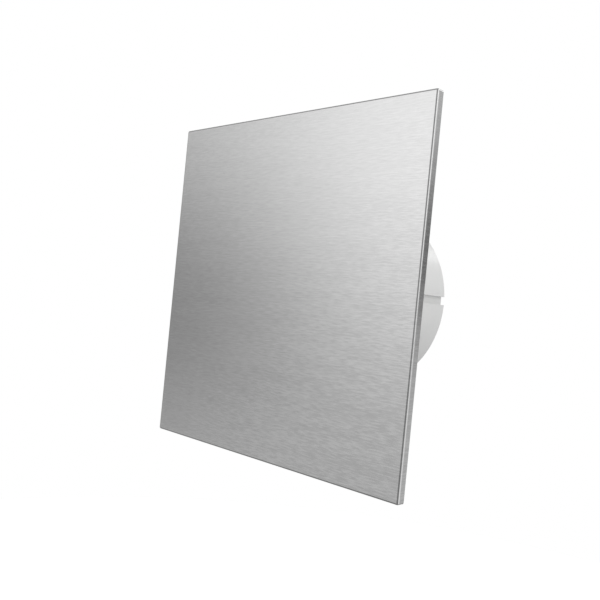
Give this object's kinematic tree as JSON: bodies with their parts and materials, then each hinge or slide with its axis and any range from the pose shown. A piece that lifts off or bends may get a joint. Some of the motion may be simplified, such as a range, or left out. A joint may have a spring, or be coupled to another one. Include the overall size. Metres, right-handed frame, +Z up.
{
  "type": "bathroom extractor fan",
  "caption": "Wall extractor fan with a square brushed steel front panel, perimeter air intake, round duct spigot, axial impeller on a shaded-pole motor and a twin-flap backdraught damper.",
  "frame": {"origin": "where the duct spigot's axis meets the wall plane, the back face of the base", "axes": "+Y along the spigot's axis into the wall and duct, +Z up, +X to the right for someone in the room who faces the panel"},
  "size_m": [0.18, 0.081, 0.18],
  "materials": {
    "brushed_steel": "fine level brushing, satin",
    "grey_board": "moulded board, matt",
    "foam_tape": "closed foam, matt",
    "white_abs": "moulded, semi-gloss",
    "white_nylon": "moulded, satin",
    "zinc_steel": "bright zinc plate",
    "black_rubber": "matt",
    "brass": "machined",
    "electrical_steel": "stacked, lacquered",
    "copper": "enamelled or bright",
    "coil_tape": "wrapped tape, satin",
    "black_nylon": "moulded, satin",
    "bearing_steel": "ground and polished",
    "cast_aluminium": "cast",
    "brown_sleeve": "insulated wire",
    "blue_sleeve": "insulated wire",
    "impeller_plastic": "moulded, satin",
    "spring_steel": "drawn wire",
    "fuse_case": "tinned case"
  },
  "bodies": {
    "housing": {"intake_cover": "white_abs", "intake_grille": "white_abs", "cover_screws": "zinc_steel", "base_tray": "white_abs", "spigot_housing": "white_abs", "terminal_block": "white_nylon", "terminal_tubes": "brass", "terminal_screws": "zinc_steel", "cable_clamp": "white_nylon", "cable_clamp_screws": "zinc_steel", "cable_grommet": "black_rubber", "stator_laminations": "electrical_steel", "shading_rings": "copper", "coil_bobbin": "black_nylon", "coil_winding": "coil_tape", "coil_pins": "zinc_steel", "thermal_fuse": "fuse_case", "motor_screws": "zinc_steel", "vibration_washers": "black_rubber", "damper_ring": "white_abs", "damper_hinge_pin": "bearing_steel", "front_bearing_bridge": "zinc_steel", "front_bearing_outer_ring": "bearing_steel", "rear_bearing_bridge": "zinc_steel", "rear_bearing_outer_ring": "bearing_steel", "motor_lead_live": "brown_sleeve", "motor_lead_neutral": "blue_sleeve"},
    "panel": {"panel_face_sheet": "brushed_steel", "panel_backing_board": "grey_board", "panel_tape_pads": "foam_tape", "panel_carrier": "white_abs"},
    "rotor": {"motor_shaft": "bearing_steel", "rotor_core": "electrical_steel", "rotor_end_rings": "cast_aluminium", "shaft_spacers": "brass", "impeller": "impeller_plastic", "impeller_nut": "zinc_steel", "front_bearing_inner_ring": "bearing_steel", "rear_bearing_inner_ring": "bearing_steel", "front_bearing_balls": "bearing_steel", "rear_bearing_balls": "bearing_steel"},
    "flap_left": {"damper_flap_left": "white_nylon", "damper_spring_upper": "spring_steel"},
    "flap_right": {"damper_flap_right": "white_nylon", "damper_spring_lower": "spring_steel"}
  },
  "joints": [
    {"name": "panel_pull", "type": "slide", "parent": "housing", "child": "panel", "axis": [0, -1, 0], "range_m": [0, 0.03]},
    {"name": "rotor_spin", "type": "hinge", "parent": "housing", "child": "rotor", "pos_m": [0, 0, 0], "axis": [0, 1, 0], "continuous": true},
    {"name": "flap_left_swing", "type": "hinge", "parent": "housing", "child": "flap_left", "pos_m": [0, 0.0499, 0], "axis": [0, 0, -1], "range_deg": [0, 80], "stiffness_Nm_per_rad": 0.0006},
    {"name": "flap_right_swing", "type": "hinge", "parent": "housing", "child": "flap_right", "pos_m": [0, 0.0499, 0], "axis": [0, 0, 1], "range_deg": [0, 80], "stiffness_Nm_per_rad": 0.0006}
  ]
}
